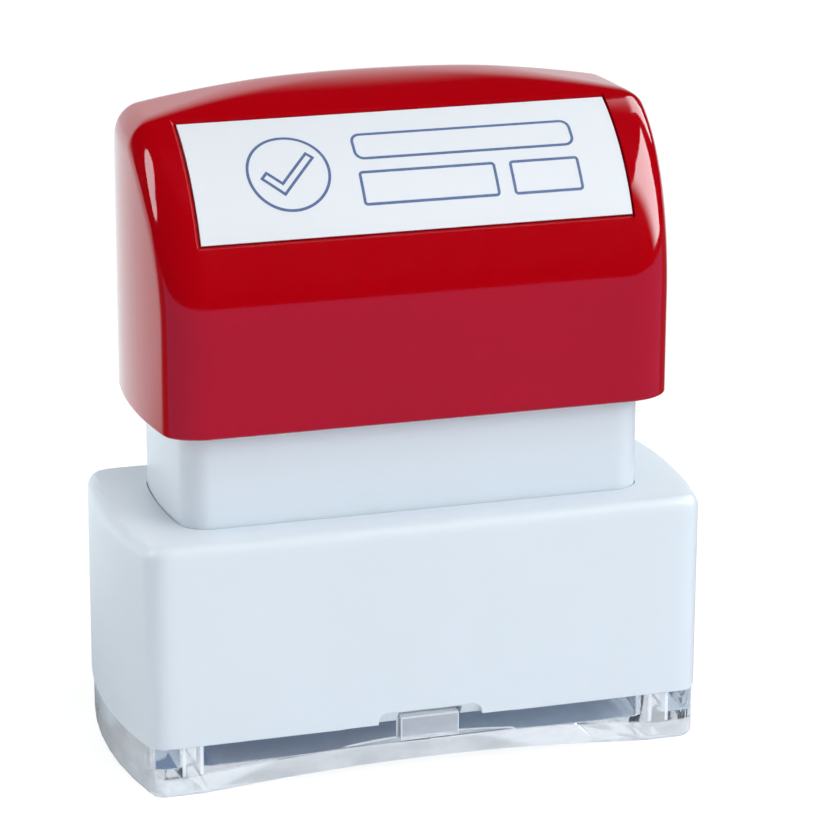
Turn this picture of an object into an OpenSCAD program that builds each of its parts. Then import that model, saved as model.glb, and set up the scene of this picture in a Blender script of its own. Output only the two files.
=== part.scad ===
// Pre-inked message stamp: a push cap on a sprung plunger, in a housing that stands on a clear cover.
// Millimetres, +Z up, origin on the table under the middle of the stamp, front towards -Y.
// Drawn at rest: cap on, cover on, plunger up against its stop.

/* [Housing] */
// Length of the housing, end to end
housing_len = 71.6; // [66:0.1:90]
// Depth of the housing, front to back
housing_dep = 32.2; // [30:0.1:44]
// Height of the housing
housing_h = 24.6; // [23:0.1:34]
// Wall above the base frame
housing_wall = 2.1; // [1.8:0.1:2.4]
// Wall of the skirt around the base frame and the cover's rails
skirt_wall = 1.5; // [1.2:0.1:1.7]
// Thickness of the top
housing_top = 2; // [1.6:0.1:3]
// Corner radius in plan
housing_corner = 3.8; // [3:0.1:6]
// Rounding of the top edge
housing_edge = 1.4; // [0.6:0.1:2]
// Radius of the bowed ends of the housing, the neck and the cap
end_bow = 64; // [56:1:140]
// Length of the finger notch in the lower edge
notch_len = 14.8; // [10:0.1:20]
// Height of the finger notch
notch_h = 1.25; // [0.9:0.05:2]
// Height of the bead that holds the base frame
bead_h = 0.7; // [0.5:0.05:0.9]
// Reach of that bead from the skirt
bead_reach = 0.45; // [0.3:0.05:0.6]
// Length of that bead
bead_len = 20; // [10:1:30]

/* [Clear cover] */
// Height of the cover below the housing
cover_h = 6.4; // [5.5:0.1:9]
// Height of the top of the cover's floor above the table
cover_floor = 2.8; // [2.5:0.1:3.4]
// How far the cover stays inside the housing's outline
cover_inset = 0.25; // [0:0.05:0.6]
// Rounding of the lower edge
cover_edge = 1.8; // [1:0.1:2.4]
// Length of each foot, from the end of the housing to the arch
foot_len = 6.8; // [5:0.1:10]
// Rise of the arch under the cover
arch_rise = 1.5; // [0.8:0.1:1.7]
// Distance from the end of the housing to the well
well_end = 7.8; // [7.2:0.1:10]
// Corner radius of the well
well_corner = 2; // [1:0.1:4]
// Rib between the well and each end pocket
pocket_rib = 2.1; // [1.2:0.1:2.4]
// Length of each end pocket
pocket_len = 3.2; // [2:0.1:3.4]
// Distance from the front of the housing to each end pocket
pocket_side = 3.6; // [3.4:0.1:8]
// Height of the rails that hold the cover in the housing
rail_h = 3; // [2:0.1:3.6]
// Thickness of the rails
rail_t = 1.2; // [0.9:0.1:1.6]
// Distance from the end of the housing to the rails
rail_end = 9.8; // [9:0.1:16]
// Length of the pry tab
tab_len = 7.3; // [5:0.1:9]
// How far the pry tab stands up into the finger notch
tab_rise = 0.5; // [0.2:0.05:0.6]
// Length of the scoop beside the pry tab
scoop_len = 21.8; // [15:0.1:24]
// Depth of the scoop
scoop_depth = 1.5; // [0.8:0.1:1.8]
// Height of the scoop
scoop_h = 2.5; // [1.8:0.1:2.8]

/* [Neck and plunger] */
// Shoulder of the housing at each end of the neck
end_shoulder = 7.05; // [6.4:0.05:9]
// Shoulder of the housing in front of and behind the neck
side_shoulder = 5.4; // [4.8:0.1:7]
// Corner radius of the neck in plan
neck_corner = 3.4; // [2.6:0.1:5]
// Height of the neck between the housing and the cap
neck_show = 11.7; // [9.6:0.1:18]
// Height of the neck inside the cap
neck_insert = 17; // [12:0.5:19]
// Wall of the neck
neck_wall = 1.8; // [1.4:0.1:2.2]
// Thickness of the neck's top
neck_top = 2.4; // [2:0.1:3.5]
// Thickness of the cross wall inside the neck
neck_web = 1.6; // [1:0.1:2.4]
// Travel of the plunger when pressed
press_travel = 8.5; // [6:0.1:9]
// Thickness of the ears that meet the springs
ear_h = 2.6; // [2:0.1:3]
// Width of the ears
ear_w = 6.4; // [5:0.1:10]

/* [Ink and die] */
// Distance between the two ink channels
channel_pitch = 28; // [20:0.5:34]
// Wall of an ink channel
channel_wall = 1.3; // [1:0.1:2]
// Diameter of a wick
wick_d = 4; // [3:0.1:5]
// Diameter of an ink well
well_d = 8; // [7:0.1:10]
// Depth of an ink well
well_depth = 1.4; // [0.8:0.1:1.6]
// How far a wick ends below its well
wick_drop = 1; // [0.5:0.1:4]
// Distance from the neck's end to the printed face
imprint_end = 8.1; // [7:0.1:12]
// Distance from the neck's front to the printed face
imprint_side = 4.35; // [4.2:0.05:5]
// Height of the raised face
relief_h = 0.6; // [0.4:0.05:0.8]
// Width of the raised border
relief_border = 1; // [0.7:0.1:1.4]
// Number of raised bars inside the border
relief_bars = 3; // [1:1:3]
// Width of a bar
bar_w = 1.4; // [1:0.1:1.6]
// Distance between the bars
bar_pitch = 2.8; // [2.2:0.1:3]
// Distance from the end of the printed face to the bars
bar_end = 3.65; // [2:0.05:8]
// Thickness of the die frame's lip, which the die stands on
die_lip = 0.8; // [0.6:0.1:1.2]
// Width of that lip
die_lip_w = 1.6; // [1:0.1:1.8]
// Thickness of the die's flange
die_flange = 2; // [1.5:0.1:2.6]
// Thickness of the ink pad
pad_h = 4.1; // [3:0.1:5]
// Thickness of the carrier's top
carrier_top = 2; // [1.5:0.1:2.4]
// Wall of the carrier and of the die frame
carrier_wall = 1.6; // [1.2:0.1:2]
// Height of the clips that hold the carrier in the neck
clip_h = 6; // [4:0.5:9]
// Width of those clips
clip_w = 6; // [4:0.5:8]
// Thickness of those clips
clip_t = 1.2; // [0.9:0.1:1.5]

/* [Springs and posts] */
// Thickness of the base frame
base_t = 2.2; // [1.8:0.1:2.8]
// Diameter of a guide post
post_d = 1.8; // [1.4:0.1:1.9]
// How deep a post sits in the base frame and in the housing's top
post_seat = 0.8; // [0.5:0.1:1]
// Outside diameter of a spring
spring_od = 3.4; // [3.2:0.05:3.6]
// Diameter of the spring wire
spring_wire = 0.45; // [0.35:0.01:0.5]
// Number of turns
spring_turns = 7; // [5:1:8]

/* [Cap] */
// How far the cap stands out from the neck
cap_overhang = 3; // [2.7:0.1:5]
// Height of the cap
cap_h = 37.2; // [34:0.1:44]
// Height of the upright part of the front, below the curve
cap_front_h = 12.2; // [10:0.1:16]
// Radius of the curved front
cap_front_r = 25; // [24:0.1:32]
// Radius of the crown along the cap
crown_r = 158; // [110:1:400]
// Rounding of the cap's edges
cap_edge = 3.2; // [2.8:0.1:4]
// Wall of the cap
cap_wall = 2; // [1.5:0.1:2.2]
// Chamfer of the lower rim
cap_chamfer = 0.5; // [0.2:0.1:0.8]
// Thickness of the grip ribs inside
rib_t = 1; // [0.8:0.1:1.6]
// Number of grip ribs on a long side
side_ribs = 4; // [2:1:4]
// Distance between the grip ribs on the long sides
rib_pitch = 13; // [9:0.5:15]
// Number of grip ribs on an end
end_ribs = 2; // [1:1:2]
// Distance between the grip ribs on the ends
end_rib_pitch = 9; // [5:0.5:12]
// How far the grip ribs start above the rim
rib_start = 1.5; // [0.5:0.1:4]
// Thickness of the cross webs that rest on the neck
web_t = 1.4; // [1:0.1:2]
// Number of cross webs
webs = 3; // [2:1:3]
// Distance between the cross webs
web_pitch = 21; // [19:0.5:25]

/* [Label] */
// Distance from the end of the cap to the label
label_end = 5.7; // [4.5:0.1:10]
// Width of the label, along the curve
label_w = 16.4; // [10:0.1:17]
// Angle of the label's lower edge, up the curved front
label_start = 24.4; // [18:0.1:26]
// Thickness of the label
label_t = 0.35; // [0.2:0.05:0.45]
// Depth of the recess that it lies in
label_recess = 0.6; // [0.5:0.05:0.9]
// Gap around the label in its recess
label_gap = 0.25; // [0.1:0.05:0.5]

/* [Fits] */
// How far the carrier and the die frame stay inside the neck's outline
carrier_inset = 0.2; // [0:0.05:0.4]
// Gap between pieces that slide past each other
slide_gap = 0.3; // [0.2:0.05:0.4]
// Gap between pieces that nest in one another
seat_gap = 0.15; // [0.1:0.05:0.2]
// Gap under a glued or laid-in piece
glue_gap = 0.05; // [0.02:0.01:0.08]
// Height left free between the cover's rails and the base frame
rail_gap = 1; // [0.9:0.1:1.4]

/* [Hidden] */
$fn = 48;
// Facets of the large, shallow rounds
bow_fn = 240;
// Facets of the spheres that round the cap, and of the posts at the corners of a rounded block
round_fn = 24;
post_fn = 40;
// Steps round the edge of a rounded block
edge_steps = 5;
// Steps along the cap's curved front, its crown and its bowed ends
front_steps = 14;
crown_steps = 8;
bow_steps = 6;
// Rings in one turn of a spring, and sides of its wire
turn_rings = 8;
wire_sides = 6;
// Extra length that makes a cut pass through a face
over = 1;
// Least corner radius of an outline that is moved in
least_corner = 0.6;
// How far a corner's round stands proud where it runs into a side or an end, so that the curves cross cleanly
proud = 0.004;

// Heights, from the table up
housing_z0 = cover_h;
housing_z1 = housing_z0 + housing_h;
cap_z0 = housing_z1 + neck_show;
cap_z1 = cap_z0 + cap_h;
base_z0 = housing_z0 + rail_h + rail_gap;
base_z1 = base_z0 + base_t;
ear_z1 = housing_z1 - housing_top;
ear_z0 = ear_z1 - ear_h;
die_z0 = housing_z0 + press_travel;
frame_z0 = die_z0 + relief_h;
flange_z0 = frame_z0 + die_lip;
pad_z0 = flange_z0 + die_flange;
pad_z1 = pad_z0 + pad_h;
neck_z0 = pad_z1 + carrier_top;
neck_z1 = cap_z0 + neck_insert;

// Sizes that follow the housing: the neck, the cap, the label and the printed face
neck_len = housing_len - 2 * end_shoulder;
neck_dep = housing_dep - 2 * side_shoulder;
cap_len = neck_len + 2 * cap_overhang;
cap_dep = neck_dep + 2 * cap_overhang;
label_len = cap_len - 2 * label_end;
imprint_len = neck_len - 2 * imprint_end;
imprint_dep = neck_dep - 2 * imprint_side;
bar_len = imprint_len - 2 * bar_end;

// Front face of the cover's rails, and the cover's hollows: the well is as deep as the room between the rails
rail_y = housing_dep / 2 - skirt_wall - slide_gap;
rail_len = housing_len - 2 * rail_end;
well_len = housing_len - 2 * well_end;
well_dep = 2 * (rail_y - rail_t);
pocket_dep = housing_dep - 2 * pocket_side;

// Middle of the room between the neck's end and the housing's wall, where the posts stand
post_x = (neck_len / 2 + housing_len / 2 - housing_wall) / 2;
// Outline of the pad and of the die's flange, inside the neck's outline
pad_inset = carrier_inset + carrier_wall + seat_gap;
// Outline of the die's raised block, which comes through the die frame
block_inset = pad_inset + die_lip_w;

// Centre of the curved front, and of the crown
front_y = cap_front_r - cap_dep / 2;
front_z = cap_z0 + cap_front_h;
crown_z = cap_z1 - crown_r;
label_angle = label_w / cap_front_r * 180 / PI;

// Places of a number of copies in a row, about the middle
function spread(count, pitch) = [for (i = [0 : count - 1]) (i - (count - 1) / 2) * pitch];

// Plan outline with flat long sides, bowed ends and round corners, moved in by inset
module plan(len, dep, corner, inset = 0) {
    bow = end_bow - inset;
    round = max(corner - inset, least_corner);
    end_x = len / 2 - end_bow;
    corner_y = dep / 2 - inset - round;
    corner_x = end_x + sqrt(pow(bow - round, 2) - pow(corner_y, 2));
    tangent_y = corner_y * bow / (bow - round);
    square(2 * [corner_x, corner_y + round - proud], center = true);
    for (sx = [-1, 1], sy = [-1, 1])
        translate([sx * corner_x, sy * corner_y]) circle(round);
    for (side = [0, 1])
        mirror([side, 0]) intersection() {
            translate([end_x, 0]) circle(bow - proud, $fn = bow_fn);
            translate([0, -tangent_y]) square([len, 2 * tangent_y]);
        }
}

// Half section of a turned post with rounded upper and lower edges
module post_section(r, z0, z1, top, bottom) {
    arc = [for (i = [0 : edge_steps]) 90 * i / edge_steps];
    low = [for (a = arc) [r - bottom + bottom * sin(a), z0 + bottom - bottom * cos(a)]];
    high = [for (a = arc) [r - top + top * cos(a), z1 - top + top * sin(a)]];
    polygon(concat(
        [[0, z0]],
        bottom > 0 ? low : [[r, z0]],
        top > 0 ? high : [[r, z1]],
        [[0, z1]]
    ));
}

// Solid on the housing's plan outline with rounded edges, drawn round posts along its two bowed ends
module rounded_block(inset, z0, z1, top, bottom) {
    round = housing_corner - inset;
    bow = end_bow - inset - round;
    end_x = housing_len / 2 - end_bow;
    end_angle = asin((housing_dep / 2 - inset - round) / bow);
    hull()
        for (side = [0, 1], i = [-bow_steps : bow_steps])
            mirror([side, 0, 0])
                translate([end_x + bow * cos(end_angle * i / bow_steps), bow * sin(end_angle * i / bow_steps)])
                    rotate_extrude($fn = post_fn) post_section(round, z0, z1, top, bottom);
}

// Upright prism on a plan outline
module prism(len, dep, corner, inset, z0, z1) {
    translate([0, 0, z0]) linear_extrude(z1 - z0) plan(len, dep, corner, inset);
}

module housing_prism(inset, z0, z1) {
    prism(housing_len, housing_dep, housing_corner, inset, z0, z1);
}

module neck_prism(inset, z0, z1) {
    prism(neck_len, neck_dep, neck_corner, inset, z0, z1);
}

// Box given by its middle in plan, its size in plan and its two heights
module upright_box(at, size, z0, z1) {
    translate([at[0] - size[0] / 2, at[1] - size[1] / 2, z0]) cube([size[0], size[1], z1 - z0]);
}

// Children on the front and, turned round, on the back
module front_and_back() {
    for (turn = [0, 180])
        rotate([0, 0, turn]) children();
}

// Children on the left and on the right end
module both_ends() {
    for (side = [0, 1])
        mirror([side, 0, 0]) children();
}

// Clear cover

module cover_arch() {
    half = housing_len / 2 - foot_len;
    arch_r = (pow(half, 2) + pow(arch_rise, 2)) / (2 * arch_rise);
    translate([0, 0, arch_rise - arch_r])
        rotate([90, 0, 0]) cylinder(r = arch_r, h = 2 * housing_dep, center = true, $fn = bow_fn);
}

module cover_well() {
    x = well_len / 2 - well_corner;
    y = well_dep / 2 - well_corner;
    translate([0, 0, cover_floor]) linear_extrude(cover_h) {
        square([well_len, 2 * y], center = true);
        square([2 * x, well_dep], center = true);
        for (sx = [-1, 1], sy = [-1, 1])
            translate([sx * x, sy * y]) circle(well_corner);
    }
}

module cover_pocket() {
    x = well_len / 2 + pocket_rib + pocket_len / 2;
    upright_box([x, 0], [pocket_len, pocket_dep], cover_floor, cover_h + over);
}

// Hollow in the front wall beside the pry tab, part of an upright cylinder
module cover_scoop() {
    scoop_r = (pow(scoop_len / 2, 2) + pow(scoop_depth, 2)) / (2 * scoop_depth);
    face_y = housing_dep / 2 - cover_inset;
    translate([0, -face_y - scoop_r + scoop_depth, cover_h - scoop_h])
        cylinder(r = scoop_r, h = scoop_h + over, $fn = bow_fn);
}

module cover_tab() {
    face_y = housing_dep / 2 - cover_inset;
    depth = scoop_depth + rail_t / 2;
    upright_box([0, -face_y + depth / 2], [tab_len, depth], cover_h - scoop_h, cover_h + tab_rise);
}

module cover_rail() {
    upright_box([0, -rail_y + rail_t / 2], [rail_len, rail_t], cover_h - scoop_h, cover_h + rail_h);
}

module dust_cover() {
    color([0.75, 0.82, 0.88, 0.45]) {
        difference() {
            rounded_block(cover_inset, 0, cover_h, 0, cover_edge);
            cover_arch();
            cover_well();
            both_ends() cover_pocket();
            front_and_back() cover_scoop();
        }
        front_and_back() {
            cover_tab();
            cover_rail();
        }
    }
}

// Housing

// Finger notch with round upper corners
module housing_notch() {
    straight = notch_len / 2 - notch_h;
    depth = skirt_wall + 2 * over;
    translate([0, over - housing_dep / 2 + skirt_wall, housing_z0])
        rotate([90, 0, 0]) linear_extrude(depth)
            intersection() {
                translate([-notch_len / 2, -over]) square([notch_len, notch_h + over]);
                union() {
                    translate([-straight, -over]) square([2 * straight, notch_h + over]);
                    translate([-notch_len / 2, -over]) square([notch_len, over]);
                    for (s = [-1, 1])
                        translate([s * straight, 0]) circle(notch_h);
                }
            }
}

module housing_bead() {
    y = housing_dep / 2 - skirt_wall;
    upright_box([0, -y], [bead_len, 2 * bead_reach], base_z0 - bead_h, base_z0);
}

module post_hole(z0, z1) {
    for (s = [-1, 1])
        translate([s * post_x, 0, z0]) cylinder(d = post_d + 2 * seat_gap, h = z1 - z0);
}

module housing() {
    color([0.86, 0.89, 0.92]) {
        difference() {
            rounded_block(0, housing_z0, housing_z1, housing_edge, 0);
            housing_prism(skirt_wall, housing_z0 - over, base_z1);
            housing_prism(housing_wall, base_z0, ear_z1);
            neck_prism(-slide_gap, ear_z0, housing_z1 + over);
            post_hole(ear_z0, ear_z1 + post_seat);
            front_and_back() housing_notch();
        }
        front_and_back() housing_bead();
    }
}

// Frame and springs inside the housing

module base_frame() {
    color([0.82, 0.84, 0.86])
        difference() {
            housing_prism(skirt_wall + seat_gap, base_z0, base_z1);
            neck_prism(-slide_gap, base_z0 - over, base_z1 + over);
            post_hole(base_z1 - post_seat, base_z1 + over);
        }
}

module guide_post(side) {
    color("silver")
        translate([side * post_x, 0, base_z1 - post_seat])
            cylinder(d = post_d, h = ear_z1 - base_z1 + 2 * post_seat - seat_gap);
}

module guide_post_left() {
    guide_post(-1);
}

module guide_post_right() {
    guide_post(1);
}

// Points along a spring's wire: ends that lie flat for a short way, turns that climb evenly between
spring_ring = (spring_od - spring_wire) / 2;
spring_h = ear_z0 - base_z1 - 2 * glue_gap;
spring_rings = turn_rings * spring_turns;
spring_tail = spring_wire;
spring_path = concat(
    [[spring_ring, -spring_tail, base_z1 + glue_gap + spring_wire / 2]],
    [for (i = [0 : spring_rings])
        let (turn = 360 * i / turn_rings)
        [
            spring_ring * cos(turn),
            spring_ring * sin(turn),
            base_z1 + glue_gap + spring_wire / 2 + (spring_h - spring_wire) * i / spring_rings
        ]],
    [[spring_ring, spring_tail, ear_z0 - glue_gap - spring_wire / 2]]
);

// Least gap of a wire to itself, measured between points at least three quarters of a turn apart
function least_gap(path, wire) =
    min([for (i = [0 : len(path) - 1], j = [0 : len(path) - 1])
        if (j - i >= turn_rings * 3 / 4) norm(path[j] - path[i])]) - wire;
echo(least_spring_gap = least_gap(spring_path, spring_wire));

// Ring of points around point i of a path, square to the path in plan
function ring_direction(path, i) =
    let (last = len(path) - 1)
    path[min(i + 1, last)] - path[max(i - 1, 0)];
function ring_points(path, i, r) =
    let (
        along = ring_direction(path, i),
        flat = sqrt(pow(along[0], 2) + pow(along[1], 2)),
        side = [along[1] / flat, -along[0] / flat, 0]
    )
    [for (k = [0 : wire_sides - 1])
        let (turn = 360 * (k + 0.5) / wire_sides)
        path[i] + r * (cos(turn) * side + sin(turn) * [0, 0, 1])];

// One unbroken tube of triangles along a path
module wire_tube(path, r) {
    n = wire_sides;
    rings = len(path);
    end = n * (rings - 1);
    points = [for (i = [0 : rings - 1]) each ring_points(path, i, r)];
    sides = [for (i = [0 : rings - 2], k = [0 : n - 1])
        let (a = n * i + k, b = n * i + (k + 1) % n)
        each [[a, b, a + n], [b, b + n, a + n]]];
    first = [for (k = [1 : n - 2]) [0, k + 1, k]];
    last = [for (k = [1 : n - 2]) [end, end + k, end + k + 1]];
    polyhedron(points = points, faces = concat(sides, first, last));
}

module return_spring(side) {
    color("gray") translate([side * post_x, 0, 0]) wire_tube(spring_path, spring_wire / 2);
}

module return_spring_left() {
    return_spring(-1);
}

module return_spring_right() {
    return_spring(1);
}

// Plunger

module ink_channel_places() {
    for (s = [-1, 1])
        translate([s * channel_pitch / 2, 0, 0]) children();
}

module plunger_ear(side) {
    inner = neck_len / 2 - neck_wall;
    outer = housing_len / 2 - housing_wall - slide_gap;
    upright_box([side * (inner + outer) / 2, 0], [outer - inner, ear_w], ear_z0, ear_z1);
}

module plunger_body() {
    channel_d = wick_d + 2 * seat_gap;
    color([0.86, 0.89, 0.92])
        difference() {
            union() {
                difference() {
                    neck_prism(0, neck_z0, neck_z1);
                    neck_prism(neck_wall, neck_z0 - over, neck_z1 - neck_top);
                }
                upright_box([0, 0], [neck_web, neck_dep - neck_wall], neck_z0, neck_z1 - neck_top / 2);
                ink_channel_places() translate([0, 0, neck_z0])
                    cylinder(d = channel_d + 2 * channel_wall, h = neck_z1 - neck_z0 - neck_top / 2);
                for (s = [-1, 1])
                    plunger_ear(s);
            }
            ink_channel_places() translate([0, 0, neck_z0 - over])
                cylinder(d = channel_d, h = neck_z1 - neck_z0 + 2 * over);
            ink_channel_places() translate([0, 0, neck_z1 - well_depth])
                cylinder(d = well_d, h = well_depth + over);
            for (s = [-1, 1])
                translate([s * post_x, 0, ear_z0 - over])
                    cylinder(d = post_d + 2 * slide_gap, h = ear_h + 2 * over);
        }
}

// Ink and die

module carrier_clip() {
    x = neck_len / 2 - neck_corner - clip_w / 2;
    y = neck_dep / 2 - neck_wall - seat_gap - clip_t / 2;
    for (s = [-1, 1])
        upright_box([s * x, -y], [clip_w, clip_t], neck_z0 - carrier_top / 2, neck_z0 + clip_h);
}

module die_carrier() {
    color([0.62, 0.66, 0.7]) {
        difference() {
            neck_prism(carrier_inset, pad_z0, neck_z0);
            neck_prism(carrier_inset + carrier_wall, pad_z0 - over, pad_z1);
            ink_channel_places() translate([0, 0, pad_z0])
                cylinder(d = wick_d + 2 * seat_gap, h = neck_z0 - pad_z0 + over);
        }
        front_and_back() carrier_clip();
    }
}

module ink_pad() {
    color([0.16, 0.24, 0.42]) neck_prism(pad_inset, pad_z0, pad_z1);
}

// Raised border with plain bars in it
module die_relief() {
    border = 2 * relief_border;
    translate([0, 0, die_z0]) linear_extrude(relief_h + die_lip) {
        difference() {
            square([imprint_len, imprint_dep], center = true);
            square([imprint_len - border, imprint_dep - border], center = true);
        }
        for (y = spread(relief_bars, bar_pitch))
            translate([0, y]) square([bar_len, bar_w], center = true);
    }
}

module stamp_die() {
    color([0.2, 0.27, 0.45]) {
        neck_prism(pad_inset, flange_z0, pad_z0);
        neck_prism(block_inset + seat_gap, frame_z0, flange_z0);
        die_relief();
    }
}

module die_frame() {
    color([0.3, 0.33, 0.38])
        difference() {
            neck_prism(carrier_inset, frame_z0, pad_z0);
            neck_prism(carrier_inset + carrier_wall, flange_z0, pad_z0 + over);
            neck_prism(block_inset, frame_z0 - over, flange_z0 + over);
        }
}

module ink_wick(side) {
    color([0.16, 0.24, 0.42])
        translate([side * channel_pitch / 2, 0, pad_z1])
            cylinder(d = wick_d, h = neck_z1 - well_depth - wick_drop - pad_z1);
}

module ink_wick_left() {
    ink_wick(-1);
}

module ink_wick_right() {
    ink_wick(1);
}

// Cap

// Half length of the cap's core at depth y, and height of the core under the crown and the curved front
function core_x(y) = cap_len / 2 - end_bow + sqrt(pow(end_bow - cap_edge, 2) - pow(y, 2));
function core_crown(x) = crown_z + sqrt(pow(crown_r - cap_edge, 2) - pow(x, 2));
function core_front(y) = front_z + sqrt(max(0, pow(cap_front_r - cap_edge, 2) - pow(y - front_y, 2)));
// Depth at which the curved front reaches the height z
function core_meet(z) =
    front_y - sqrt(max(0, pow(cap_front_r - cap_edge, 2) - pow(z - front_z, 2)));

core_y = cap_dep / 2 - cap_edge;
// Depths along the curved front, from the upright part to the back
front_end = acos((front_y - core_y) / (cap_front_r - cap_edge));
front_depths = [for (i = [0 : front_steps])
    front_y - (cap_front_r - cap_edge) * cos(front_end * i / front_steps)];

// The cap's form: a ball of radius r run round the edges of the core, on upright posts.
// With the edge radius it is the outside, and with the wall taken off it is the hollow.
module cap_form(r, z0, chamfer) {
    hull() {
        for (y = front_depths, s = [-1, 1])
            translate([s * core_x(y), y, min(core_front(y), core_crown(core_x(y)))])
                sphere(r, $fn = round_fn);
        for (i = [0 : crown_steps])
            let (
                x = core_x(core_y) * (2 * i / crown_steps - 1),
                z = core_crown(x)
            )
            for (y = [min(core_meet(z), core_y), core_y])
                translate([x, y, z]) sphere(r, $fn = round_fn);
        for (i = [0 : bow_steps], s = [-1, 1])
            let (y = core_y * (2 * i / bow_steps - 1))
            translate([s * core_x(y), y, z0]) {
                translate([0, 0, chamfer]) cylinder(r = r, h = front_z - z0 - chamfer, $fn = round_fn);
                cylinder(r = r - chamfer, h = front_z - z0, $fn = round_fn);
            }
    }
}

// Grip ribs between the hollow's walls and the neck
module cap_ribs() {
    face_y = neck_dep / 2 + slide_gap;
    face_x = neck_len / 2 + slide_gap;
    reach_y = cap_dep / 2 - cap_wall / 2 - face_y;
    reach_x = cap_len / 2 - cap_wall / 2 - face_x;
    front_and_back()
        for (x = spread(side_ribs, rib_pitch))
            upright_box([x, -face_y - reach_y / 2], [rib_t, reach_y], cap_z0 + rib_start, neck_z1);
    both_ends()
        for (y = spread(end_ribs, end_rib_pitch))
            upright_box([face_x + reach_x / 2, y], [reach_x, rib_t], cap_z0 + rib_start, neck_z1);
}

// Webs across the hollow, which rest on the neck's top
module cap_webs() {
    for (x = spread(webs, web_pitch))
        upright_box([x, 0], [web_t, cap_dep], neck_z1, cap_z1);
}

// Part of a tube round the curved front's axis, from radius r0 to r1, centred on the label
module front_tube(r0, r1, len, angle) {
    middle = label_start + label_angle / 2;
    translate([0, front_y, front_z])
        rotate([0, 90, 0]) rotate([0, 0, 270 - middle - angle / 2])
            rotate_extrude(angle = angle, $fn = bow_fn)
                translate([r0, -len / 2]) square([r1 - r0, len]);
}

module handle_cap() {
    gap_angle = label_gap / cap_front_r * 180 / PI;
    color([0.68, 0.02, 0.08])
        difference() {
            cap_form(cap_edge, cap_z0, cap_chamfer);
            difference() {
                cap_form(cap_edge - cap_wall, cap_z0 - over, 0);
                cap_ribs();
                cap_webs();
            }
            front_tube(
                cap_front_r - label_recess, cap_front_r + over,
                label_len + 2 * label_gap, label_angle + 2 * gap_angle
            );
        }
}

module message_label() {
    base_r = cap_front_r - label_recess + glue_gap;
    color([0.91, 0.93, 0.97]) front_tube(base_r, base_r + label_t, label_len, label_angle);
}

dust_cover();
housing();
base_frame();
guide_post_left();
guide_post_right();
return_spring_left();
return_spring_right();
plunger_body();
die_carrier();
ink_pad();
stamp_die();
die_frame();
ink_wick_left();
ink_wick_right();
handle_cap();
message_label();
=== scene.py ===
"""Looks of a pre-inked message stamp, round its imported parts: shells, label print, springs and studio."""

import math
from contextlib import contextmanager
from functools import cache

import bmesh
import bpy
import numpy as np
from mathutils import Matrix, Vector


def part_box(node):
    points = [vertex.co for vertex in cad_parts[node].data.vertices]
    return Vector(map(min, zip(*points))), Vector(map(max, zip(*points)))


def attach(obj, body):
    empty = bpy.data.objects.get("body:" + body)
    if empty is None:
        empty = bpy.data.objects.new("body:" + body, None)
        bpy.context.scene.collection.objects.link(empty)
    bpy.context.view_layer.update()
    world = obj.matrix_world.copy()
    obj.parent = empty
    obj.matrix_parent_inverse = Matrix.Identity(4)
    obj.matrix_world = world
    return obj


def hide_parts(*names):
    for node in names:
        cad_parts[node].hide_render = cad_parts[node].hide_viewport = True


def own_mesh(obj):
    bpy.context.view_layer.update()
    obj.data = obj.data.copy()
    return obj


bl_info = {
    "name": "Message stamp",
    "version": (1, 0, 0),
    "blender": (4, 5, 0),
    "location": "3D View > Sidebar > Stamp",
    "description": "Models the shells, label print and springs of a pre-inked message stamp, and its studio",
    "category": "Object",
}

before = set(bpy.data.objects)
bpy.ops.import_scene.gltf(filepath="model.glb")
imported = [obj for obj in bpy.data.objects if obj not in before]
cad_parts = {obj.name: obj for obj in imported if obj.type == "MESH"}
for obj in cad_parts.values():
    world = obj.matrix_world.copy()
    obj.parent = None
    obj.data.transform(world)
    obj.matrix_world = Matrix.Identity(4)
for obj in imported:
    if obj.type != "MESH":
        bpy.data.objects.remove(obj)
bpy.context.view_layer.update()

MM = 0.001
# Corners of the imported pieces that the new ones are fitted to
COVER_LOW, COVER_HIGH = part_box("dust_cover")
HOUSING_LOW, HOUSING_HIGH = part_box("housing")
CAP_LOW, CAP_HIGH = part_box("handle_cap")
BASE_LOW, BASE_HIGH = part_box("base_frame")
POST_LOW, POST_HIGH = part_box("guide_post_right")
SPRING_LOW, SPRING_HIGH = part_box("return_spring_right")
NECK_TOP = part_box("plunger_body")[1].z
POST_X = (POST_LOW.x + POST_HIGH.x) / 2
# Extra length that makes a cutter pass through a face
OVER = 1 * MM
# Least corner radius of a cutter that is smaller than its shell
LEAST_CORNER = 0.6 * MM
# Cuts and sides that set how fine the pieces are
CAP_CUTS = 72
HOLLOW_CUTS = 24
HOUSING_CUTS = 48
BOW_CUTS = 7
RECESS_CUTS = 36
PRINT_CUTS = 40
ARCH_SIDES = 720
SCOOP_SIDES = 360
RING_SIDES = 72
WICK_SIDES = 48
WIRE_SIDES = 12
TURN_STEPS = 32
# How much closer a pressed box is cut at its edges, and how often it is pressed
CROWDING = 0.3
PRESSES = 12
# Grip ribs along a side and along an end of the cap, and its cross webs
SIDE_RIBS, END_RIBS, WEBS = 4, 2, 3
# Rounding of the finger notch, as a share of its height
NOTCH_ROUND = 0.8
# Width and arms of the printed tick, as shares of its size
TICK_WIDTH = 0.24
TICK_ARMS = (0.95, 0.42)
# Where most of a noise lies, and how it thins and thickens the milky veil
NOISE_RANGE = (0.3, 0.7)
CLOUD_RANGE = (0.9, 1.12)
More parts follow.
